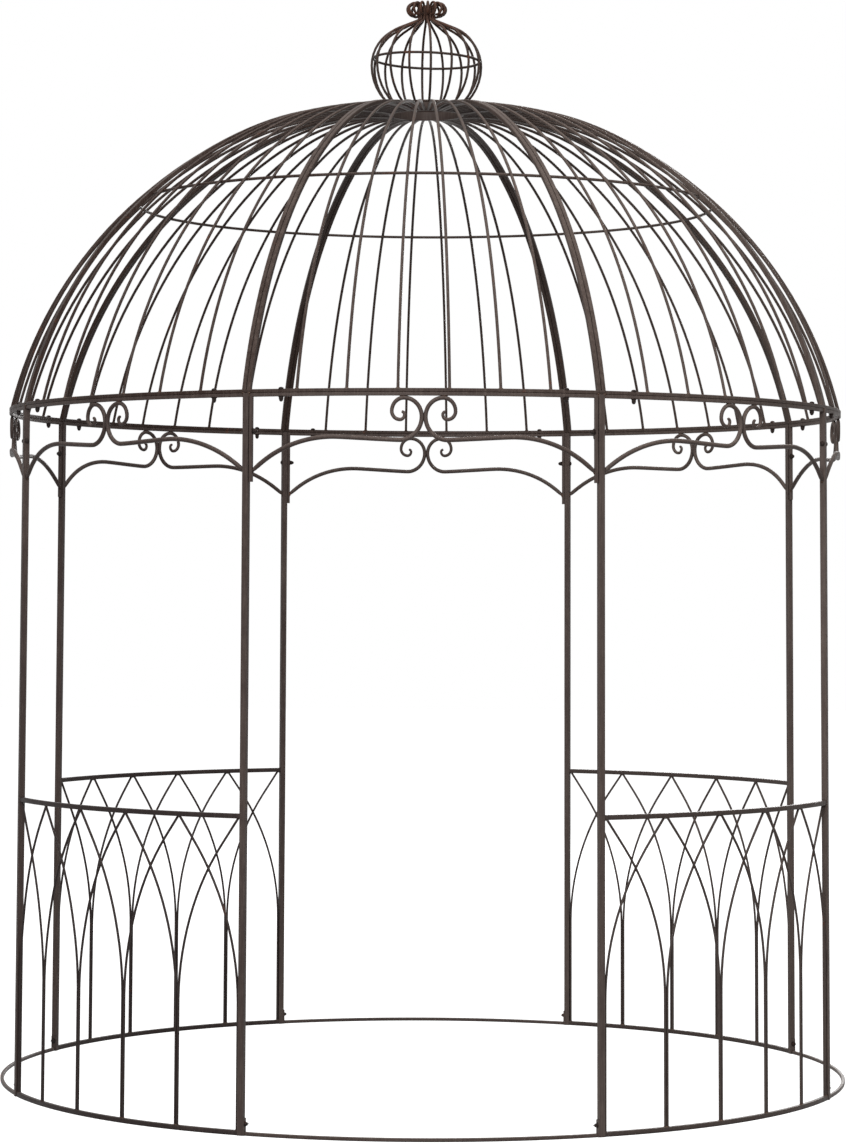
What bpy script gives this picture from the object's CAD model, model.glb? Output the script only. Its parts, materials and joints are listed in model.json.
"""Looks of the birdcage garden gazebo: paint, bolts, scrolls, finial, lattice, weld beads and studio."""

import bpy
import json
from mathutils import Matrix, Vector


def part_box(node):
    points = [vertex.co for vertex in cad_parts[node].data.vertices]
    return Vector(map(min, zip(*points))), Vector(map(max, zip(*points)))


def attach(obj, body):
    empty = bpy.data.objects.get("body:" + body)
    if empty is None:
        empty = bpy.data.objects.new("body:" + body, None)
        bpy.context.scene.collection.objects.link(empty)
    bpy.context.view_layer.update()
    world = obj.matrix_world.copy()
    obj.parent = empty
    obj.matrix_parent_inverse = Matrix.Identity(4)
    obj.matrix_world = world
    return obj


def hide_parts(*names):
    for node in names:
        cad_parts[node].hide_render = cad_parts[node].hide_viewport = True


bl_info = {
    "name": "Birdcage Gazebo Finish",
    "version": (1, 0, 0),
    "blender": (4, 5, 0),
    "location": "View3D > Sidebar > Gazebo",
    "description": "Paints the packed gazebo, adds its fasteners and welds, and sets up the studio",
    "category": "Object",
}

import json
import math

import bpy
from mathutils import Matrix, Vector

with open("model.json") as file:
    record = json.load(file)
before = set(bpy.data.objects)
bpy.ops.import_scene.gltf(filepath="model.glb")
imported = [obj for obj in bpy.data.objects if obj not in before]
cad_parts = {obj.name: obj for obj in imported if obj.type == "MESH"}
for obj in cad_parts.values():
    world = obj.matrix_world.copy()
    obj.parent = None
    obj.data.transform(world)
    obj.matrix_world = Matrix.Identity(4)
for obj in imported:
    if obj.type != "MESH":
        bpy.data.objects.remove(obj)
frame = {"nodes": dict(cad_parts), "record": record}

BAYS = ["front", "front_right", "right", "back_right", "back", "back_left", "left", "front_left"]
OPEN_BAYS = BAYS[0::2]
PANEL_BAYS = BAYS[1::2]
HALF_BAY = math.pi / len(BAYS)
BODY = "root"


def low(node):
    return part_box(node)[0]


def high(node):
    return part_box(node)[1]


# --- sizes read from the frame ---

BEAM_BOTTOM = low("head_rail_front_right").z
BAR = high("head_rail_front_right").z - BEAM_BOTTOM
BEAM_TOP = BEAM_BOTTOM + 2 * BAR
BEAM_OUTER = -low("head_rail_front").y
BEAM_RADIUS = BEAM_OUTER - BAR / 2
GROUND_OUTER = high("sill_right").x
LEG_BOTTOM = low("head_rail_front").z
PANEL_TOP = high("panel_front_left").z
HUB_RADIUS = high("crown_hub").x
HUB_HIGH = high("crown_hub").z
FINIAL_TOP = high("finial").z
POST_WIDTH = 0.017
PLATE_THICKNESS = 0.003
POST_FOOT_RADIUS = GROUND_OUTER - BAR / 2


def lean_radius(height):
    """Distance of the posts' middle from the axis at that height: they lean in towards the ring beam."""
    return POST_FOOT_RADIUS - (POST_FOOT_RADIUS - BEAM_RADIUS) * height / (BEAM_BOTTOM + BAR)


def bay_angle(bay):
    """Direction of the middle of a bay, seen from above, with the front bay facing -Y."""
    return math.radians(-90 + 45 * BAYS.index(bay))


def spot(angle, radius, height):
    return Vector((radius * math.cos(angle), radius * math.sin(angle), height))


def facing(angle, radius, height):
    """Frame on the circle of that radius: its X axis points outwards and its Z axis up."""
    return Matrix.Translation(spot(angle, radius, height)) @ Matrix.Rotation(angle, 4, "Z")


def at_both_posts(bay, radius, height):
    """Frames at the bay's two posts, the right one mirrored so that its Y axis points into the bay too."""
    left = facing(bay_angle(bay) - HALF_BAY, radius, height)
    right = facing(bay_angle(bay) + HALF_BAY, radius, height) @ Matrix.Scale(-1, 4, (0, 1, 0))
    return [left, right]


# --- modelling helpers ---


def deselect():
    if bpy.context.object and bpy.context.object.mode != "OBJECT":
        bpy.ops.object.mode_set(mode="OBJECT")
    bpy.ops.object.select_all(action="DESELECT")


def activate(obj):
    deselect()
    obj.select_set(True)
    bpy.context.view_layer.objects.active = obj


def join(objects, name):
    deselect()
    for obj in objects:
        obj.select_set(True)
    bpy.context.view_layer.objects.active = objects[0]
    if len(objects) > 1:
        bpy.ops.object.join()
    piece = bpy.context.object
    piece.name = name
    piece.data.name = name
    bpy.ops.object.transform_apply(location=True, rotation=True, scale=True)
    return piece


def placed_copy(master, place):
    piece = master.copy()
    piece.data = master.data.copy()
    piece.data.transform(place)
    if place.determinant() < 0:
        piece.data.flip_normals()
    bpy.context.collection.objects.link(piece)
    return piece


def remove(obj):
    bpy.data.objects.remove(obj, do_unlink=True)


def finish_piece(piece, material, smooth_angle=40):
    """Shades a finished piece, paints it, and lets it ride on the gazebo's body."""
    activate(piece)
    bpy.ops.object.shade_smooth_by_angle(angle=math.radians(smooth_angle))
    piece.data.materials.clear()
    piece.data.materials.append(material)
    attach(piece, BODY)


def scatter(master, places, name, material):
    """Copies one master to every place and joins the copies into one named piece."""
    piece = join([placed_copy(master, place) for place in places], name)
    finish_piece(piece, material)
    return piece


def sweep_wire(name, start, heading, chain, radius, sides):
    """Round bar in the XZ plane: a disc at the start is spun round each bend and pushed along each straight.

    A link of the chain is (radius, turn, steps) for a bend, a left turn being positive, or (0, length, 1).
    """
    deselect()
    bpy.ops.mesh.primitive_circle_add(vertices=sides, radius=radius, fill_type="NGON")
    piece = bpy.context.object
    piece.name = name
    x, z = start
    piece.data.transform(Matrix.Translation((x, 0, z)) @ Matrix.Rotation(math.pi / 2 - heading, 4, "Y"))
    bpy.ops.object.mode_set(mode="EDIT")
    bpy.ops.mesh.select_all(action="SELECT")
    for bend_radius, amount, steps in chain:
        if bend_radius:
            side = math.copysign(bend_radius, amount)
            centre = (x - side * math.sin(heading), 0, z + side * math.cos(heading))
            bpy.ops.mesh.spin(steps=steps, angle=amount, center=centre, axis=(0, 1, 0))
            heading += amount
            x = centre[0] + side * math.sin(heading)
            z = centre[2] - side * math.cos(heading)
        else:
            step = (amount * math.cos(heading), 0, amount * math.sin(heading))
            bpy.ops.mesh.extrude_region_move(TRANSFORM_OT_translate={"value": step})
            x, z = x + step[0], z + step[2]
    bpy.ops.mesh.select_all(action="SELECT")
    bpy.ops.mesh.normals_make_consistent(inside=False)
    bpy.ops.object.mode_set(mode="OBJECT")
    return piece


def ring(name, major, minor, height, around, sides):
    """Welded wire ring about the gazebo's axis."""
    deselect()
    bpy.ops.mesh.primitive_torus_add(
        major_radius=major, minor_radius=minor, major_segments=around, minor_segments=sides,
        location=(0, 0, height))
    piece = bpy.context.object
    piece.name = name
    bpy.ops.object.transform_apply(location=True)
    return piece


# --- materials ---


class Nodes:
    """Short way to add and link shader nodes of one material."""

    def __init__(self, name):
        self.material = bpy.data.materials.get(name) or bpy.data.materials.new(name)
        self.material.use_nodes = True
        self.tree = self.material.node_tree
        self.tree.nodes.clear()
        self.output = self.add("ShaderNodeOutputMaterial")

    def add(self, kind, **values):
        node = self.tree.nodes.new(kind)
        for key, value in values.items():
            setattr(node, key, value)
        return node

    def link(self, source, target):
        self.tree.links.new(source, target)

    def noise(self, coordinates, scale, detail, roughness=0.5, distortion=0.0):
        node = self.add("ShaderNodeTexNoise")
        node.inputs["Scale"].default_value = scale
        node.inputs["Detail"].default_value = detail
        node.inputs["Roughness"].default_value = roughness
        node.inputs["Distortion"].default_value = distortion
        self.link(coordinates, node.inputs["Vector"])
        return node.outputs["Fac"]

    def remap(self, value, from_low, from_high, to_low=0.0, to_high=1.0):
        node = self.add("ShaderNodeMapRange")
        node.inputs["From Min"].default_value = from_low
        node.inputs["From Max"].default_value = from_high
        node.inputs["To Min"].default_value = to_low
        node.inputs["To Max"].default_value = to_high
        self.link(value, node.inputs["Value"])
        return node.outputs["Result"]

    def mix(self, factor, first, second):
        node = self.add("ShaderNodeMix", data_type="RGBA")
        self.link(factor, node.inputs["Factor"])
        for socket, value in ((node.inputs["A"], first), (node.inputs["B"], second)):
            if isinstance(value, bpy.types.NodeSocket):
                self.link(value, socket)
            else:
                socket.default_value = (*value, 1)
        return node.outputs["Result"]

    def maths(self, operation, first, second):
        node = self.add("ShaderNodeMath", operation=operation)
        node.use_clamp = True
        for socket, value in zip(node.inputs, (first, second)):
            if isinstance(value, bpy.types.NodeSocket):
                self.link(value, socket)
            else:
                socket.default_value = value
        return node.outputs["Value"]


def antique_paint(name, base, rubbed, rust_share, wear=1.0, rust_above=None):
    """Dark satin paint, rubbed to taupe on what faces up and more so at +X, with rust and dirty grooves.

    `rust_share` widens the small rusty patches, `wear` scales the rubbing, and above the height
    `rust_above` the patches grow together.
    """
    settings = bpy.context.scene.gazebo_paint
    nodes = Nodes(name)
    place = nodes.add("ShaderNodeTexCoord")
    coordinates = place.outputs["Object"]
    tone = nodes.noise(coordinates, settings.tone_scale, 3)
    mottle = nodes.noise(coordinates, settings.mottle_scale, 6, 0.65)
    blotch = nodes.noise(coordinates, settings.rust_scale, 5, 0.7, 0.6)
    grain = nodes.noise(coordinates, settings.grain_scale, 2)
    stretch = nodes.add("ShaderNodeMapping")
    stretch.inputs["Scale"].default_value = (1, 1, 0.06)
    nodes.link(coordinates, stretch.inputs["Vector"])
    streak = nodes.noise(stretch.outputs["Vector"], settings.streak_scale, 3)

    facing_up = nodes.add("ShaderNodeSeparateXYZ")
    nodes.link(place.outputs["Normal"], facing_up.inputs["Vector"])
    upward = nodes.remap(facing_up.outputs["Z"], -0.4, 1.0, 0.0, 0.8)
    dusty = nodes.maths("MULTIPLY", upward, nodes.remap(mottle, 0.35, 0.65, 0.35, 1.0))
    brushed = nodes.maths("ADD", dusty, nodes.remap(streak, 0.45, 0.75, 0.0, 0.35))
    patchy = nodes.maths("ADD", brushed, nodes.remap(tone, 0.45, 0.75, 0.0, 0.3))
    position = nodes.add("ShaderNodeSeparateXYZ")
    nodes.link(coordinates, position.inputs["Vector"])
    fading = settings.sun_fading
    sunny = nodes.remap(position.outputs["X"], -GROUND_OUTER, GROUND_OUTER, -fading, fading)
    worn = nodes.maths("ADD", nodes.remap(patchy, 0.0, 1.0, 0.0, wear), sunny)
    painted = nodes.mix(worn, base, rubbed)
    rusty = nodes.remap(blotch, 0.72 - rust_share, 0.80 - rust_share, 0.0, 0.8)
    if rust_above:
        spread = nodes.remap(position.outputs["Z"], rust_above, rust_above + 0.08, 0.0, 0.6)
        rusty = nodes.maths("ADD", rusty, nodes.maths("MULTIPLY", spread, nodes.remap(mottle, 0.3, 0.6)))
    rusted = nodes.mix(rusty, painted, tuple(settings.rust_colour))
    groove = nodes.add("ShaderNodeAmbientOcclusion", samples=8)
    groove.inputs["Distance"].default_value = settings.groove_reach
    grimy = nodes.remap(groove.outputs["AO"], 0.35, 0.85, 1.0, 0.0)
    colour = nodes.mix(grimy, rusted, tuple(settings.grime_colour))

    shader = nodes.add("ShaderNodeBsdfPrincipled")
    shader.inputs["Metallic"].default_value = 0.0
    shader.inputs["Specular IOR Level"].default_value = 0.09
    gloss = nodes.remap(mottle, 0.3, 0.7, 0.42, 0.62)
    roughness = nodes.maths("ADD", gloss, nodes.maths("MULTIPLY", rusty, 0.3))
    nodes.link(colour, shader.inputs["Base Color"])
    nodes.link(roughness, shader.inputs["Roughness"])

    relief = nodes.maths("ADD", nodes.maths("MULTIPLY", grain, 0.5), nodes.maths("MULTIPLY", mottle, 0.5))
    bump = nodes.add("ShaderNodeBump")
    bump.inputs["Strength"].default_value = 0.35
    bump.inputs["Distance"].default_value = settings.relief_depth
    nodes.link(relief, bump.inputs["Height"])
    nodes.link(bump.outputs["Normal"], shader.inputs["Normal"])
    nodes.link(shader.outputs["BSDF"], nodes.output.inputs["Surface"])
    return nodes.material


def frame_paint():
    colours = bpy.context.scene.gazebo_paint
    return antique_paint("frame_paint", colours.frame_colour, colours.rubbed_colour, rust_share=0.06)


def lattice_paint():
    colours = bpy.context.scene.gazebo_paint
    return antique_paint(
        "lattice_paint", colours.lattice_colour, colours.rubbed_colour, rust_share=0.06, wear=0.55)


def scroll_paint():
    colours = bpy.context.scene.gazebo_paint
    return antique_paint("scroll_paint", colours.scroll_colour, colours.rubbed_colour, rust_share=0.04)


def dome_paint():
    colours = bpy.context.scene.gazebo_paint
    return antique_paint(
        "dome_paint", colours.dome_colour, colours.rubbed_colour, rust_share=0.09, wear=0.85)


def finial_paint():
    colours = bpy.context.scene.gazebo_paint
    return antique_paint(
        "finial_paint", colours.dome_colour, colours.rubbed_colour, rust_share=0.10, wear=0.5,
        rust_above=FINIAL_TOP - colours.rusty_top)


def bolt_paint():
    colours = bpy.context.scene.gazebo_paint
    return antique_paint("bolt_paint", colours.bolt_colour, colours.dome_colour, rust_share=0.14)


def weld_paint():
    colours = bpy.context.scene.gazebo_paint
    return antique_paint("weld_paint", colours.dome_colour, colours.weld_colour, rust_share=0.16)


def studio_floor_material(settings):
    """White sweep: bright to the camera, and it keeps the soft shadow under the gazebo."""
    nodes = Nodes("studio_floor")
    rays = nodes.add("ShaderNodeLightPath")
    seen = nodes.maths("ADD", rays.outputs["Is Camera Ray"], rays.outputs["Is Glossy Ray"])
    matte = nodes.add("ShaderNodeBsdfDiffuse")
    matte.inputs["Color"].default_value = (*settings.floor_colour, 1)
    glow = nodes.add("ShaderNodeEmission")
    glow.inputs["Color"].default_value = (1, 1, 1, 1)
    nodes.link(nodes.maths("MULTIPLY", seen, settings.floor_glow), glow.inputs["Strength"])
    both = nodes.add("ShaderNodeAddShader")
    nodes.link(matte.outputs["BSDF"], both.inputs[0])
    nodes.link(glow.outputs["Emission"], both.inputs[1])
    nodes.link(both.outputs["Shader"], nodes.output.inputs["Surface"])
    return nodes.material


# --- settings ---


def colour_property(name, description, default):
    return bpy.props.FloatVectorProperty(
        name=name, description=description, default=default, subtype="COLOR", min=0, max=1)


def length_property(name, description, default):
    return bpy.props.FloatProperty(
        name=name, description=description, default=default, unit="LENGTH", min=0)


def angle_property(name, description, degrees):
    return bpy.props.FloatProperty(
        name=name, description=description, default=math.radians(degrees), subtype="ANGLE")


def number_property(name, description, default):
    return bpy.props.FloatProperty(name=name, description=description, default=default)


def count_property(name, description, default):
    return bpy.props.IntProperty(name=name, description=description, default=default, min=1)


class GazeboPaint(bpy.types.PropertyGroup):
    frame_colour: colour_property("Frame", "Paint on the posts, sills and beam", (0.040, 0.0285, 0.0255))
    lattice_colour: colour_property("Lattice", "Paint on the lattice panels", (0.023, 0.0165, 0.0155))
    scroll_colour: colour_property("Scrolls", "Paint on the scroll brackets", (0.038, 0.027, 0.024))
    dome_colour: colour_property("Dome", "Paint on the dome and the finial", (0.023, 0.0135, 0.0105))
    bolt_colour: colour_property("Bolts", "Blackened steel of the bolts", (0.016, 0.012, 0.011))
    rubbed_colour: colour_property("Rubbed", "Taupe where the paint is rubbed", (0.108, 0.084, 0.073))
    weld_colour: colour_property("Welds", "Rusty tint of the weld beads", (0.150, 0.095, 0.066))
    rust_colour: colour_property("Rust", "Red-brown patches in the paint", (0.085, 0.034, 0.020))
    grime_colour: colour_property("Grime", "Dark red-brown dirt in the grooves", (0.008, 0.0040, 0.0032))
    groove_reach: length_property("Groove", "How far the dirt reaches out of a groove", 0.006)
    rusty_top: length_property("Rusty top", "Height of the finial's rusty top", 0.15)
    sun_fading: number_property("Fading", "How much more the side at +X is rubbed and faded", 0.24)
    tone_scale: number_property("Tone", "Broad changes of tone per metre", 2.6)
    mottle_scale: number_property("Mottle", "Mottling per metre", 42)
    rust_scale: number_property("Rust size", "Rust patches per metre", 13)
    grain_scale: number_property("Grain", "Grain of the paint per metre", 520)
    streak_scale: number_property("Streaks", "Brush streaks per metre", 260)
    relief_depth: length_property("Relief", "Depth of the paint's orange peel", 0.0006)


class GazeboFasteners(bpy.types.PropertyGroup):
    head_radius: length_property("Head", "Radius of the domed bolt heads", 0.0072)
    head_rise: length_property("Head rise", "Height of the domed bolt heads", 0.0052)
    nut_radius: length_property("Nut", "Radius of the nuts over their corners", 0.0068)
    nut_height: length_property("Nut height", "Height of the nuts", 0.0058)
    cap_length: length_property("Cap", "Length of the cap on the nuts", 0.0070)
    washer_radius: length_property("Washer", "Radius of the washers", 0.0080)
    washer_thickness: length_property("Washer thickness", "Thickness of the washers", 0.0012)
    beam_setback: length_property("Setback", "Distance of the beam's bolts from each post", 0.098)
    leg_bolt_rise: length_property("Leg bolt", "Height of the leg's bolt over its end", 0.134)
    sill_bolt_height: length_property("Sill bolt", "Height of the sill's bolts over the ground", 0.031)


class GazeboBars(bpy.types.PropertyGroup):
    merge_distance: length_property("Merge", "Distance within which corners of a bar are one", 0.00002)
    scroll_fatten: length_property("Fatten", "Growth that makes up for the rounding of the scrolls", 0.0030)
    scroll_levels: count_property("Rounding", "Rounding steps of the scrolls", 2)
    spiral_reach: length_property("Spiral", "Half width of a pair of spirals", 0.115)
    spiral_narrowing: number_property("Narrowing", "Width of the spirals over their CAD width", 0.94)
    finial_wires: count_property("Wires", "Number of wires in the finial", 16)
    finial_turn: angle_property("Turn", "Turn of the finial", 4.7)
    finial_wire: length_property("Finial wire", "Diameter of the finial's wires", 0.0075)
    band_thickness: length_property("Band", "Thickness of the hub's band", 0.003)
    belly_radius: length_property("Belly", "Widest radius of the finial", 0.163)
    lower_belly: length_property("Lower belly", "Bend of the wires below the widest place", 0.149)
    upper_belly: length_property("Upper belly", "Bend of the wires above the widest place", 0.118)
    shoulder_turn: angle_property("Shoulder", "Turn of the wires above the belly", 67)
    neck_radius: length_property("Neck", "Radius of the finial's neck", 0.0225)
    neck_bend: length_property("Neck bend", "Bend of the wires into the neck", 0.010)
    neck_length: length_property("Neck length", "Straight part of the neck", 0.024)
    curl_radius: length_property("Curl", "Radius of the curls", 0.0175)
    curl_turn: angle_property("Curl turn", "Turn of the curls", 280)
    equator_rise: length_property("Equator", "Height of the ring over the widest place", 0.018)
    equator_tilt: angle_property("Tilt", "Tilt of the ring to the right", 1.8)


class GazeboLattice(bpy.types.PropertyGroup):
    rail_size: length_property("Rail", "Width of the panels' rails", 0.013)
    rail_edge: length_property("Rail edge", "Rounding of the rails' edges", 0.0012)
    rail_steps: count_property("Rail steps", "Steps along a rail's curve", 24)
    rod_size: length_property("Rod", "Diameter of the lattice rods", 0.007)
    rod_gap: length_property("Gap", "Gap between two rods side by side", 0.0002)
    spaces: count_property("Spaces", "Spaces across a lattice panel", 5)
    split_height: length_property("Split", "Height at which the rods part", 0.348)
    arch_radius: length_property("Arch", "Radius of the bend of the pointed arches", 0.72)
    crossing_step: length_property("Step", "How far crossing rods stand off the panel's middle", 0.0025)


class GazeboWelds(bpy.types.PropertyGroup):
    bead_radius: length_property("Bead", "Radius of a weld bead", 0.0062)
    bead_rise: length_property("Rise", "Height of a weld bead", 0.0032)
    roughness: length_property("Lumps", "How far a bead's surface is lumpy", 0.0007)
    rib_setback: length_property("Rib", "From the joint of two segments to the middle of a rib", 0.0065)
    dome_wires: count_property("Dome wires", "Wires in each segment of the dome", 6)
    dome_wire: length_property("Dome wire", "Diameter of the dome's wires", 0.0085)
    eaves_lean: angle_property("Lean", "Lean of the ribs at the ring beam", 13.6)
    shoulder_radius: length_property("Shoulder", "Bend of the ribs over the ring beam", 1.215)
    mid_ring_rise: length_property("Middle ring", "Height of the middle ring over the ring beam", 0.631)
    scroll_size: length_property("Scroll", "Thickness of the scroll bars", 0.009)
    scroll_crest: length_property("Crest", "Radius of the outer turn of the scrolls", 0.0495)
    scroll_foot_rise: length_property("Foot", "Height of the scrolls' feet over the ends of the legs", 0.030)


class GazeboStage(bpy.types.PropertyGroup):
    distance: length_property("Distance", "From the axis to the camera", 10.069)
    height: length_property("Height", "Height of the camera", 1.4427)
    azimuth: angle_property("Azimuth", "Turn of the camera to the right", 0.179)
    pitch: angle_property("Pitch", "Upward tilt of the camera", 0.2593)
    roll: angle_property("Roll", "Roll of the camera", 0.219)
    lens: number_property("Lens", "Focal length in millimetres, on the sensor's height", 106.76)
    sensor_height: number_property("Sensor", "Height of the camera's sensor in millimetres", 36)
    shift: number_property("Shift", "Sideways shift of the lens", -0.00133)
    floor_size: length_property("Floor", "Width of the floor", 60)
    floor_colour: colour_property("Floor colour", "Colour of the floor", (0.30, 0.30, 0.30))
    floor_glow: number_property("Floor glow", "Brightness added to the floor", 1.0)
    world_light: number_property("World", "Strength of the even light", 0.3)
    top_power: number_property("Top", "Power of the lamp overhead in watts", 300)
    key_power: number_property("Key", "Power of the key lamp in watts", 690)
    fill_power: number_property("Fill", "Power of the fill lamp in watts", 40)
    back_power: number_property("Back", "Power of the lamp behind in watts", 420)


# --- fasteners ---


def lathe(name, outline, segments):
    """Solid of revolution about Z: a row of edges [radius, z] is drawn and spun once round."""
    deselect()
    bpy.ops.mesh.primitive_plane_add(size=1)
    piece = bpy.context.object
    piece.name = name
    bpy.ops.object.mode_set(mode="EDIT")
    bpy.ops.mesh.select_all(action="SELECT")
    bpy.ops.mesh.merge(type="CENTER")
    bpy.ops.transform.translate(value=(outline[0][0], 0, outline[0][1]))
    for before, after in zip(outline, outline[1:]):
        step = (after[0] - before[0], 0, after[1] - before[1])
        bpy.ops.mesh.extrude_region_move(TRANSFORM_OT_translate={"value": step})
    bpy.ops.mesh.select_all(action="SELECT")
    bpy.ops.mesh.spin(steps=segments, angle=2 * math.pi, center=(0, 0, 0), axis=(0, 0, 1))
    bpy.ops.mesh.select_all(action="SELECT")
    bpy.ops.mesh.remove_doubles(threshold=1e-6)
    bpy.ops.mesh.normals_make_consistent(inside=False)
    bpy.ops.object.mode_set(mode="OBJECT")
    return piece


def dome_outline(radius, rise, base, steps=4):
    """Quarter ellipse from the rim at the height `base` to the crown above it."""
    return [(radius * math.cos(i * math.pi / 2 / steps), base + rise * math.sin(i * math.pi / 2 / steps))
            for i in range(steps + 1)]


def domed_head(sizes):
    """Domed bolt head that sits on the plane z = 0."""
    outline = [(0, 0), (sizes.head_radius, 0)] + dome_outline(sizes.head_radius, sizes.head_rise * 0.8,
                                                            sizes.head_rise * 0.2)
    return lathe("domed_head", outline, 14)


def hex_nut(radius, height):
    """Hexagon nut on the plane z = 0, with bevelled edges."""
    deselect()
    bpy.ops.mesh.primitive_cylinder_add(vertices=6, radius=radius, depth=height, location=(0, 0, height / 2))
    nut = bpy.context.object
    bpy.ops.object.mode_set(mode="EDIT")
    bpy.ops.mesh.select_all(action="SELECT")
    bpy.ops.mesh.bevel(offset=height * 0.08, segments=1, affect="EDGES")
    bpy.ops.object.mode_set(mode="OBJECT")
    bpy.ops.object.transform_apply(location=True)
    return nut


def flat_washer(sizes):
    """Washer that hangs below the plane z = 0."""
    below = -sizes.washer_thickness
    return lathe("washer", [(0, 0), (sizes.washer_radius, 0), (sizes.washer_radius, below), (0, below)], 14)


def cap_nut(sizes):
    """Washer, hexagon nut and domed cap, in that order below the plane z = 0."""
    washer = flat_washer(sizes)
    nut = hex_nut(sizes.nut_radius, sizes.nut_height)
    nut.data.transform(Matrix.Translation((0, 0, -sizes.washer_thickness - sizes.nut_height)))
    cap_radius = sizes.nut_radius * 0.84
    cap = lathe("cap", [(0, 0)] + dome_outline(cap_radius, sizes.cap_length, 0), 12)
    cap.data.transform(Matrix.Rotation(math.pi, 4, "X"))
    cap.data.transform(Matrix.Translation((0, 0, -sizes.washer_thickness - sizes.nut_height)))
    return join([washer, nut, cap], "cap_nut")


class GAZEBO_OT_paint(bpy.types.Operator):
    """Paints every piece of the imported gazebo"""

    bl_idname = "gazebo.paint"
    bl_label = "Paint the Frame"

    def execute(self, context):
        paints = {"frame_paint": frame_paint(), "scroll_paint": scroll_paint(), "dome_paint": dome_paint()}
        for part in frame["record"]["subparts"]:
            node = frame["nodes"][part["node"]]
            for material_slot in node.material_slots:
                material_slot.material = paints[part["material_slot"]]
            if not node.material_slots:
                node.data.materials.append(paints[part["material_slot"]])
        return {"FINISHED"}


class GAZEBO_OT_beam_bolts(bpy.types.Operator):
    """Adds the upright bolts that hold the two bars of the ring beam together"""

    bl_idname = "gazebo.beam_bolts"
    bl_label = "Beam Bolts"

    def execute(self, context):
        sizes = context.scene.gazebo_fasteners
        head = domed_head(sizes)
        head.data.transform(Matrix.Translation((0, 0, BEAM_TOP)))
        nut = cap_nut(sizes)
        nut.data.transform(Matrix.Translation((0, 0, BEAM_BOTTOM)))
        master = join([head, nut], "beam_bolt")
        setback = sizes.beam_setback / BEAM_RADIUS
        material = bolt_paint()
        for bay in BAYS:
            angles = [bay_angle(bay) + side * (HALF_BAY - setback) for side in (-1, 1)]
            places = [facing(angle, BEAM_RADIUS, 0) for angle in angles]
            scatter(master, places, "beam_bolts_" + bay, material)
        remove(master)
        return {"FINISHED"}


class GAZEBO_OT_leg_bolts(bpy.types.Operator):
    """Adds the level bolts that hold the hanging legs to the posts"""

    bl_idname = "gazebo.leg_bolts"
    bl_label = "Leg Bolts"

    def execute(self, context):
        sizes = context.scene.gazebo_fasteners
        height = LEG_BOTTOM + sizes.leg_bolt_rise
        radius = lean_radius(height)
        head = domed_head(sizes)
        head.data.transform(Matrix.Rotation(math.pi / 2, 4, "X"))
        head.data.transform(Matrix.Translation((0, -POST_WIDTH / 2, 0)))
        nut = cap_nut(sizes)
        nut.data.transform(Matrix.Rotation(math.pi / 2, 4, "X"))
        nut.data.transform(Matrix.Translation((0, POST_WIDTH / 2 + BAR, 0)))
        master = join([head, nut], "leg_bolt")
        material = bolt_paint()
        for bay in OPEN_BAYS:
            scatter(master, at_both_posts(bay, radius, height), "leg_bolts_" + bay, material)
        remove(master)
        return {"FINISHED"}


def wing_nut(sizes):
    """Washer, boss and two raised wings below the plane z = 0."""
    washer = flat_washer(sizes)
    boss_radius = sizes.nut_radius * 0.85
    depth = sizes.nut_height
    top = -sizes.washer_thickness
    end = top - depth
    boss = lathe("boss", [(0, top), (boss_radius, top), (boss_radius * 0.8, end), (0, end)], 12)
    wings = []
    for side in (-1, 1):
        deselect()
        bpy.ops.mesh.primitive_cube_add(size=1)
        wing = bpy.context.object
        wing.data.transform(Matrix.Diagonal((boss_radius * 1.1, sizes.washer_thickness * 1.6, depth, 1)))
        wing.data.transform(Matrix.Translation((boss_radius * 1.1, 0, -depth * 0.7)))
        bpy.ops.object.mode_set(mode="EDIT")
        bpy.ops.mesh.select_all(action="SELECT")
        bpy.ops.mesh.bevel(offset=sizes.washer_thickness * 0.5, segments=2, affect="EDGES")
        bpy.ops.object.mode_set(mode="OBJECT")
        wing.data.transform(Matrix.Rotation(math.radians(32), 4, "Y"))
        if side < 0:
            wing.data.transform(Matrix.Rotation(math.pi, 4, "Z"))
        wings.append(wing)
    return join([washer, boss, *wings], "wing_nut")


class GAZEBO_OT_sill_bolts(bpy.types.Operator):
    """Adds the bolts with wing nuts that hold the ends of the sills to the posts"""

    bl_idname = "gazebo.sill_bolts"
    bl_label = "Sill Bolts"

    def execute(self, context):
        sizes = context.scene.gazebo_fasteners
        height = sizes.sill_bolt_height
        radius = lean_radius(height)
        master = wing_nut(sizes)
        master.data.transform(Matrix.Rotation(math.pi / 2, 4, "X"))
        master.data.transform(Matrix.Translation((0, POST_WIDTH / 2 + PLATE_THICKNESS, 0)))
        material = bolt_paint()
        for bay in OPEN_BAYS:
            scatter(master, at_both_posts(bay, radius, height), "sill_bolts_" + bay, material)
        remove(master)
        return {"FINISHED"}


# --- round bars that stand for faceted ones ---


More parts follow.
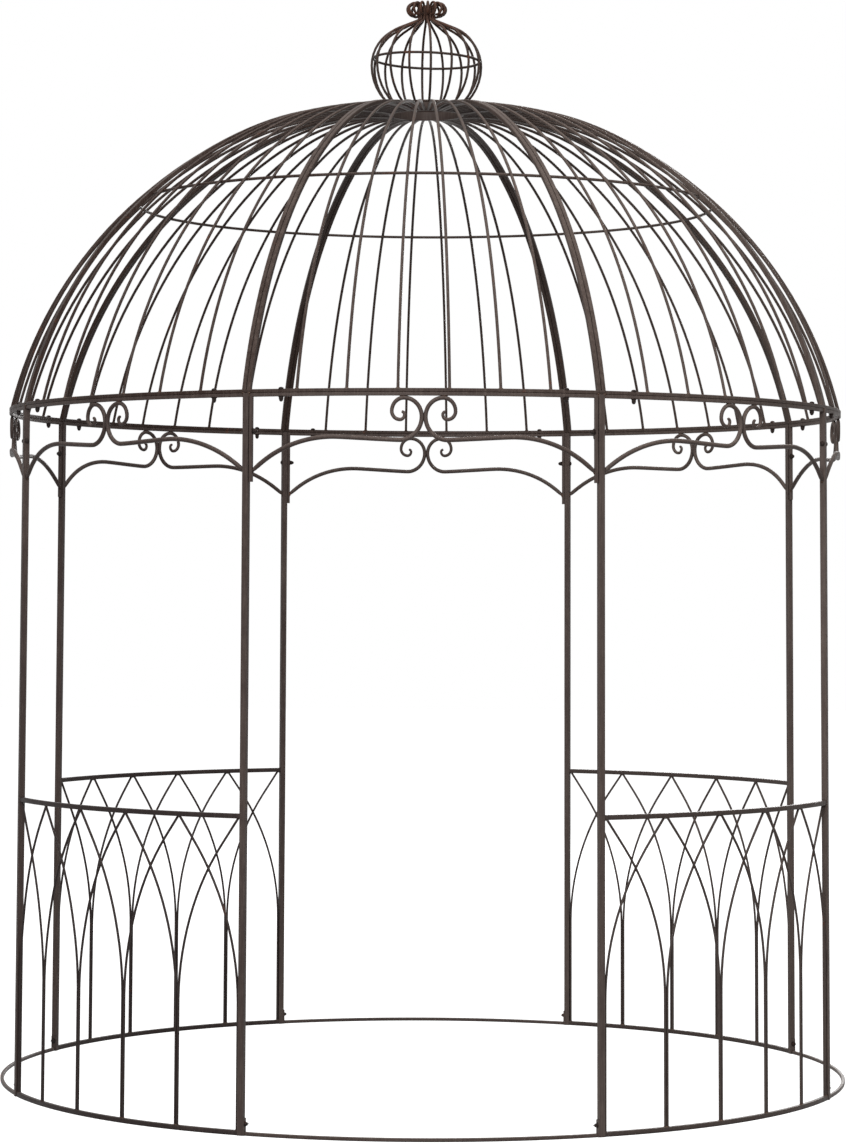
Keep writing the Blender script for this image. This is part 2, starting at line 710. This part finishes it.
class GAZEBO_OT_round_scrolls(bpy.types.Operator):
    """Rounds the forged bars of every pair of scrolls"""

    bl_idname = "gazebo.round_scrolls"
    bl_label = "Round Scrolls"

    def execute(self, context):
        settings = context.scene.gazebo_bars
        material = scroll_paint()
        for bay in BAYS:
            node = "scroll_" + bay
            turn = bay_angle(bay) - bay_angle("front")
            piece = placed_copy(frame["nodes"][node], Matrix.Rotation(-turn, 4, "Z"))
            piece.name = "round_" + node
            for key in list(piece.keys()):
                del piece[key]
            piece.parent = None
            activate(piece)
            bpy.ops.object.mode_set(mode="EDIT")
            bpy.ops.mesh.select_all(action="SELECT")
            bpy.ops.mesh.remove_doubles(threshold=settings.merge_distance)
            flat = math.radians(60)
            bpy.ops.mesh.tris_convert_to_quads(face_threshold=flat, shape_threshold=flat)
            bpy.ops.transform.shrink_fatten(value=settings.scroll_fatten)
            self.narrow_spirals(piece, settings)
            bpy.ops.object.mode_set(mode="OBJECT")
            piece.data.transform(Matrix.Rotation(turn, 4, "Z"))
            rounding = piece.modifiers.new("rounding", "SUBSURF")
            rounding.levels = settings.scroll_levels
            rounding.render_levels = settings.scroll_levels
            bpy.ops.object.modifier_apply(modifier=rounding.name)
            finish_piece(piece, material, 60)
            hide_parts(node)
        return {"FINISHED"}

    def narrow_spirals(self, piece, settings):
        """Draws the two spirals in towards the middle of the front bay, in edit mode."""
        bpy.ops.mesh.select_all(action="DESELECT")
        bpy.ops.object.mode_set(mode="OBJECT")
        for corner in piece.data.vertices:
            corner.select = abs(corner.co.x) < settings.spiral_reach
        bpy.ops.object.mode_set(mode="EDIT")
        bpy.ops.transform.resize(
            value=(settings.spiral_narrowing, 1, 1), center_override=(0, -BEAM_RADIUS, BEAM_BOTTOM),
            use_proportional_edit=True, proportional_edit_falloff="SMOOTH",
            proportional_size=settings.spiral_reach)


class GAZEBO_OT_round_finial(bpy.types.Operator):
    """Spins the finial's wires and rings as round bars"""

    bl_idname = "gazebo.round_finial"
    bl_label = "Round Finial"

    def execute(self, context):
        settings = context.scene.gazebo_bars
        wire = settings.finial_wire / 2
        base_radius = HUB_RADIUS - settings.band_thickness / 2
        base_height = HUB_HIGH + wire * math.cos(math.pi / 6)
        belly = settings.belly_radius
        lower = settings.lower_belly
        upper = settings.upper_belly
        belly_turn = math.acos(1 - (belly - base_radius) / lower)
        shoulder = settings.shoulder_turn
        neck = settings.neck_radius
        bend = settings.neck_bend
        cone = (belly - neck - (upper + bend) * (1 - math.cos(shoulder))) / math.sin(shoulder)
        chain = [(lower, belly_turn, 6), (upper, shoulder, 8), (0, cone, 1), (bend, -shoulder, 5),
                 (0, settings.neck_length, 1), (settings.curl_radius, -settings.curl_turn, 16)]
        start = (base_radius, base_height)
        master = sweep_wire("finial_wire", start, math.pi / 2 - belly_turn, chain, wire, 10)
        first = math.radians(-90) + settings.finial_turn
        step = 2 * math.pi / settings.finial_wires
        wires = [placed_copy(master, Matrix.Rotation(first + i * step, 4, "Z"))
                 for i in range(settings.finial_wires)]
        remove(master)
        belly_height = base_height + lower * math.sin(belly_turn)
        base = ring("base_ring", base_radius, wire, base_height, 96, 10)
        equator = ring("equator", belly - wire * 1.5, wire, 0, 120, 10)
        tilt = Matrix.Rotation(settings.equator_tilt, 4, "Y")
        equator.data.transform(Matrix.Translation((0, 0, belly_height + settings.equator_rise)) @ tilt)
        piece = join([*wires, base, equator], "round_finial")
        finish_piece(piece, finial_paint(), 60)
        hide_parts("finial")
        return {"FINISHED"}


# --- lattice panels ---


# Angle from the middle of a lattice panel to the side of the post beside it
PANEL_HALF = HALF_BAY - math.asin(POST_WIDTH / 2 / POST_FOOT_RADIUS)


def lattice_space(sizes):
    """Width of one space of a lattice panel, unrolled."""
    return 2 * PANEL_HALF * POST_FOOT_RADIUS / sizes.spaces


def arched_rod(sizes, at_post):
    """Rod that rises straight at x = 0, bends to the right and ends at the next edge's top.

    From a third of its bent height on it stands `crossing_step` off the panel's middle.
    """
    offset = (sizes.rod_size + sizes.rod_gap) / 2
    start = sizes.rail_size / 2
    rise = PANEL_TOP - start - sizes.split_height
    reach = lattice_space(sizes) - offset * (2 if at_post else 1)
    radius = sizes.arch_radius
    rest = math.sqrt((reach - radius) ** 2 + rise ** 2 - radius ** 2)
    slope = math.atan2(rest, -radius) - math.atan2(rise, reach - radius)
    chain = [(0, sizes.split_height - start, 1), (radius, -slope, 14), (0, rest, 4)]
    rod = sweep_wire("arched_rod", (offset, start), math.pi / 2, chain, sizes.rod_size / 2, 8)
    for corner in rod.data.vertices:
        bent = (corner.co.z - sizes.split_height) / rise
        corner.co.y += sizes.crossing_step * min(1, max(0, bent * 3))
    return rod


def panel_rail(sizes, height):
    """Square rail with rounded edges, unrolled along X about that height."""
    half_length = PANEL_HALF * POST_FOOT_RADIUS
    deselect()
    bpy.ops.mesh.primitive_plane_add(size=sizes.rail_size)
    rail = bpy.context.object
    rail.name = "panel_rail"
    rail.data.transform(Matrix.Translation((-half_length, 0, height)) @ Matrix.Rotation(math.pi / 2, 4, "Y"))
    bpy.ops.object.mode_set(mode="EDIT")
    bpy.ops.mesh.select_all(action="SELECT")
    bpy.ops.mesh.bevel(offset=sizes.rail_edge, segments=2, affect="VERTICES")
    for _ in range(sizes.rail_steps):
        step = (2 * half_length / sizes.rail_steps, 0, 0)
        bpy.ops.mesh.extrude_region_move(TRANSFORM_OT_translate={"value": step})
    bpy.ops.mesh.select_all(action="SELECT")
    bpy.ops.mesh.normals_make_consistent(inside=False)
    bpy.ops.object.mode_set(mode="OBJECT")
    return rail


def unrolled_panel(sizes):
    """Whole lattice panel laid flat in the XZ plane, with its middle at x = 0."""
    space = lattice_space(sizes)
    inner = arched_rod(sizes, False)
    outer = arched_rod(sizes, True)
    mirror = Matrix.Scale(-1, 4, (1, 0, 0)) @ Matrix.Scale(-1, 4, (0, 1, 0))
    bars = []
    for i in range(sizes.spaces):
        edge = (i - sizes.spaces / 2) * space
        rod = outer if i == sizes.spaces - 1 else inner
        bars.append(placed_copy(rod, Matrix.Translation((edge, 0, 0))))
        bars.append(placed_copy(rod, Matrix.Translation((-edge, 0, 0)) @ mirror))
    remove(inner)
    remove(outer)
    rails = [panel_rail(sizes, height) for height in (sizes.rail_size / 2, PANEL_TOP - sizes.rail_size / 2)]
    return join(bars + rails, "unrolled_panel")


class GAZEBO_OT_lattice_panels(bpy.types.Operator):
    """Bends the arches and rails of the lattice panels as round rods and tubes on the leaning wall"""

    bl_idname = "gazebo.lattice_panels"
    bl_label = "Lattice Panels"

    def execute(self, context):
        sizes = context.scene.gazebo_lattice
        master = unrolled_panel(sizes)
        material = lattice_paint()
        for bay in PANEL_BAYS:
            piece = placed_copy(master, Matrix())
            piece.name = "arched_panel_" + bay
            for corner in piece.data.vertices:
                across, out, height = corner.co
                angle = bay_angle(bay) - across / POST_FOOT_RADIUS
                corner.co = spot(angle, lean_radius(height) + out, height)
            finish_piece(piece, material, 60)
            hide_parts("panel_" + bay)
        remove(master)
        return {"FINISHED"}


# --- weld beads ---


def lumpy_bead(sizes, seed):
    """Lumpy weld bead about the origin: `bead_radius` wide, `bead_rise` high on either side."""
    deselect()
    bpy.ops.mesh.primitive_uv_sphere_add(segments=8, ring_count=6, radius=1)
    bead = bpy.context.object
    bead.name = "bead"
    bead.data.transform(Matrix.Diagonal((sizes.bead_radius, sizes.bead_radius, sizes.bead_rise, 1)))
    bpy.ops.object.mode_set(mode="EDIT")
    bpy.ops.mesh.select_all(action="SELECT")
    bpy.ops.transform.vertex_random(offset=sizes.roughness, uniform=1, seed=seed)
    bpy.ops.object.mode_set(mode="OBJECT")
    return bead


def stretched(place, across=1.0, along=1.0, up=1.0):
    """The same place with its bead stretched outwards, sideways and upwards."""
    return place @ Matrix.Diagonal((across, along, up, 1))


def add_beads(sizes, name, places):
    """Puts a bead at every place, using a few masters of different lumps in turn."""
    masters = [lumpy_bead(sizes, seed) for seed in range(4)]
    beads = [placed_copy(masters[i % len(masters)], place) for i, place in enumerate(places)]
    for master in masters:
        remove(master)
    finish_piece(join(beads, name), weld_paint(), 80)


class GAZEBO_OT_lattice_welds(bpy.types.Operator):
    """Adds the weld beads at the feet, heads and crossings of the lattice rods"""

    bl_idname = "gazebo.lattice_welds"
    bl_label = "Lattice Welds"

    def execute(self, context):
        sizes = context.scene.gazebo_welds
        lattice = context.scene.gazebo_lattice
        space = 2 * PANEL_HALF / lattice.spaces
        half_space = (lattice_space(lattice) - lattice.rod_size - lattice.rod_gap) / 2
        crossing_turn = math.acos(1 - half_space / lattice.arch_radius)
        crossing = lattice.split_height + lattice.arch_radius * math.sin(crossing_turn)
        foot = lattice.rail_size
        head = PANEL_TOP - lattice.rail_size
        for bay in PANEL_BAYS:
            first = bay_angle(bay) - PANEL_HALF
            places = []
            for i in range(lattice.spaces + 1):
                angle = first + i * space
                places.append(stretched(facing(angle, lean_radius(foot), foot), 0.8, 1.5, 0.8))
                places.append(stretched(facing(angle, lean_radius(head), head), 0.8, 1.1, 0.8))
            for i in range(lattice.spaces):
                angle = first + (i + 0.5) * space
                places.append(stretched(facing(angle, lean_radius(crossing), crossing), 0.5, 0.7, 1.6))
            add_beads(sizes, "lattice_welds_" + bay, places)
        return {"FINISHED"}


class GAZEBO_OT_dome_welds(bpy.types.Operator):
    """Adds the weld beads at the feet of the dome's wires and ribs and along the middle ring"""

    bl_idname = "gazebo.dome_welds"
    bl_label = "Dome Welds"

    def execute(self, context):
        sizes = context.scene.gazebo_welds
        rib_angle = HALF_BAY - sizes.rib_setback / BEAM_RADIUS
        pitch = 2 * rib_angle / (sizes.dome_wires + 1)
        bend = sizes.shoulder_radius
        centre = Vector((BEAM_RADIUS - bend * math.cos(sizes.eaves_lean), 0,
                         BEAM_TOP - BAR / 2 - bend * math.sin(sizes.eaves_lean)))
        rise = math.asin((BEAM_BOTTOM + sizes.mid_ring_rise - centre.z) / bend)
        inner = bend - sizes.dome_wire * 0.35
        ring_radius = centre.x + inner * math.cos(rise)
        ring_height = centre.z + inner * math.sin(rise)
        tilt = Matrix.Rotation(math.pi / 2 - rise, 4, "Y")
        for bay in BAYS:
            places = []
            for i in range(sizes.dome_wires + 2):
                angle = bay_angle(bay) - rib_angle + i * pitch
                size = 1.3 if i in (0, sizes.dome_wires + 1) else 1.0
                places.append(stretched(facing(angle, BEAM_RADIUS - 0.001, BEAM_TOP), 0.8 * size, size, 0.8))
                on_ring = facing(angle, ring_radius, ring_height) @ tilt
                places.append(stretched(on_ring, 0.8, 0.9 * size, 0.9))
            add_beads(sizes, "dome_welds_" + bay, places)
        return {"FINISHED"}


class GAZEBO_OT_scroll_welds(bpy.types.Operator):
    """Adds the weld beads that hold the scrolls to the ring beam, to the posts and to each other"""

    bl_idname = "gazebo.scroll_welds"
    bl_label = "Scroll Welds"

    def execute(self, context):
        sizes = context.scene.gazebo_welds
        crest = sizes.scroll_size / 2 + sizes.scroll_crest
        foot = LEG_BOTTOM + sizes.scroll_foot_rise
        for bay in BAYS:
            middle = bay_angle(bay)
            post_side = POST_WIDTH / 2 + (BAR if bay in OPEN_BAYS else 0)
            places = [stretched(facing(middle, BEAM_RADIUS, BEAM_BOTTOM - crest), 0.6, 0.5, 2.6)]
            for side in (-1, 1):
                crest_angle = middle + side * crest / BEAM_RADIUS
                foot_angle = middle + side * (HALF_BAY - post_side / BEAM_RADIUS)
                places.append(stretched(facing(crest_angle, BEAM_RADIUS, BEAM_BOTTOM), 0.8, 1.6, 0.7))
                places.append(stretched(facing(foot_angle, BEAM_RADIUS, foot), 0.8, 0.5, 2.4))
            add_beads(sizes, "scroll_welds_" + bay, places)
        return {"FINISHED"}


class GAZEBO_OT_corner_welds(bpy.types.Operator):
    """Adds the rubbed weld beads where the ring beam ends at each post"""

    bl_idname = "gazebo.corner_welds"
    bl_label = "Corner Welds"

    def execute(self, context):
        sizes = context.scene.gazebo_welds
        for bay in BAYS:
            places = []
            for side in (-1, 1):
                angle = bay_angle(bay) + side * (HALF_BAY - POST_WIDTH / 2 / BEAM_RADIUS)
                joint = facing(angle, BEAM_OUTER, BEAM_BOTTOM + BAR)
                places.append(stretched(joint, 0.35, 0.9, 0.6))
                places.append(stretched(facing(angle, BEAM_OUTER, BEAM_BOTTOM + BAR / 2), 0.3, 0.35, 1.6))
            add_beads(sizes, "corner_welds_" + bay, places)
        return {"FINISHED"}


# --- stage ---

# Name, place and diameter of each lamp, and the setting that holds its power
LAMPS = (
    ("top_lamp", (0.0, -2.5, 8.0), 5.0, "top_power"),
    ("key_lamp", (-1.5, -9.0, 4.5), 4.0, "key_power"),
    ("fill_lamp", (6.0, -5.5, 4.0), 4.0, "fill_power"),
    ("back_lamp", (1.5, 9.0, 4.0), 4.0, "back_power"),
)


def area_lamp(name, place, target, size, power):
    deselect()
    bpy.ops.object.light_add(type="AREA", location=place)
    lamp = bpy.context.object
    lamp.name = name
    lamp.data.shape = "DISK"
    lamp.data.size = size
    lamp.data.energy = power
    lamp.rotation_euler = (Vector(target) - Vector(place)).to_track_quat("-Z", "Y").to_euler()
    return lamp


class GAZEBO_OT_stage(bpy.types.Operator):
    """Sets up the white floor, the soft lamps and the camera"""

    bl_idname = "gazebo.stage"
    bl_label = "Studio"

    def execute(self, context):
        settings = context.scene.gazebo_stage
        deselect()
        bpy.ops.mesh.primitive_plane_add(size=settings.floor_size, location=(0, 0, 0))
        floor = context.object
        floor.name = "studio_floor"
        floor.data.materials.append(studio_floor_material(settings))
        self.light_world(context.scene, settings)
        middle = (0, 0, FINIAL_TOP / 2)
        for name, place, size, power in LAMPS:
            area_lamp(name, place, middle, size, getattr(settings, power))
        self.place_camera(context, settings)
        context.scene.view_settings.view_transform = "Standard"
        return {"FINISHED"}

    def light_world(self, scene, settings):
        world = bpy.data.worlds.new("studio")
        scene.world = world
        world.use_nodes = True
        tree = world.node_tree
        tree.nodes.clear()
        rays = tree.nodes.new("ShaderNodeLightPath")
        seen = tree.nodes.new("ShaderNodeMath")
        seen.operation = "MAXIMUM"
        tree.links.new(rays.outputs["Is Camera Ray"], seen.inputs[0])
        tree.links.new(rays.outputs["Is Glossy Ray"], seen.inputs[1])
        strength = tree.nodes.new("ShaderNodeMapRange")
        strength.inputs["To Min"].default_value = settings.world_light
        strength.inputs["To Max"].default_value = 1.0
        tree.links.new(seen.outputs["Value"], strength.inputs["Value"])
        background = tree.nodes.new("ShaderNodeBackground")
        background.inputs["Color"].default_value = (1, 1, 1, 1)
        tree.links.new(strength.outputs["Result"], background.inputs["Strength"])
        output = tree.nodes.new("ShaderNodeOutputWorld")
        tree.links.new(background.outputs["Background"], output.inputs["Surface"])

    def place_camera(self, context, settings):
        deselect()
        bpy.ops.object.camera_add()
        camera = context.object
        camera.name = "camera"
        camera.data.sensor_fit = "VERTICAL"
        camera.data.sensor_height = settings.sensor_height
        camera.data.lens = settings.lens
        camera.data.shift_x = settings.shift
        camera.data.clip_end = 200
        turn = Matrix.Rotation(settings.azimuth, 4, "Z")
        back = Matrix.Translation((0, -settings.distance, settings.height))
        tilt = Matrix.Rotation(math.pi / 2 + settings.pitch, 4, "X")
        camera.matrix_world = turn @ back @ tilt @ Matrix.Rotation(settings.roll, 4, "Z")
        context.scene.camera = camera


class GAZEBO_PT_panel(bpy.types.Panel):
    """Lists the gazebo's steps and settings"""

    bl_idname = "GAZEBO_PT_panel"
    bl_label = "Gazebo"
    bl_space_type = "VIEW_3D"
    bl_region_type = "UI"
    bl_category = "Gazebo"

    def draw(self, context):
        for step in STEPS:
            self.layout.operator(step.bl_idname)
        for name, group in GROUPS.items():
            for key in group.__annotations__:
                self.layout.prop(getattr(context.scene, name), key)


STEPS = (GAZEBO_OT_paint, GAZEBO_OT_beam_bolts, GAZEBO_OT_leg_bolts, GAZEBO_OT_sill_bolts,
         GAZEBO_OT_round_scrolls, GAZEBO_OT_round_finial, GAZEBO_OT_lattice_panels, GAZEBO_OT_lattice_welds,
         GAZEBO_OT_dome_welds, GAZEBO_OT_scroll_welds, GAZEBO_OT_corner_welds, GAZEBO_OT_stage)
GROUPS = {"gazebo_paint": GazeboPaint, "gazebo_fasteners": GazeboFasteners, "gazebo_bars": GazeboBars,
          "gazebo_lattice": GazeboLattice, "gazebo_welds": GazeboWelds, "gazebo_stage": GazeboStage}
CLASSES = (*GROUPS.values(), *STEPS, GAZEBO_PT_panel)


def register():
    for cls in CLASSES:
        bpy.utils.register_class(cls)
    for name, group in GROUPS.items():
        setattr(bpy.types.Scene, name, bpy.props.PointerProperty(type=group))


def unregister():
    for name in GROUPS:
        delattr(bpy.types.Scene, name)
    for cls in reversed(CLASSES):
        bpy.utils.unregister_class(cls)


def main():
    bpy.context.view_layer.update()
    register()
    bpy.ops.gazebo.paint()
    bpy.ops.gazebo.beam_bolts()
    bpy.ops.gazebo.leg_bolts()
    bpy.ops.gazebo.sill_bolts()
    bpy.ops.gazebo.round_scrolls()
    bpy.ops.gazebo.round_finial()
    bpy.ops.gazebo.lattice_panels()
    bpy.ops.gazebo.lattice_welds()
    bpy.ops.gazebo.dome_welds()
    bpy.ops.gazebo.scroll_welds()
    bpy.ops.gazebo.corner_welds()
    bpy.ops.gazebo.stage()


if __name__ == "__main__":
    main()
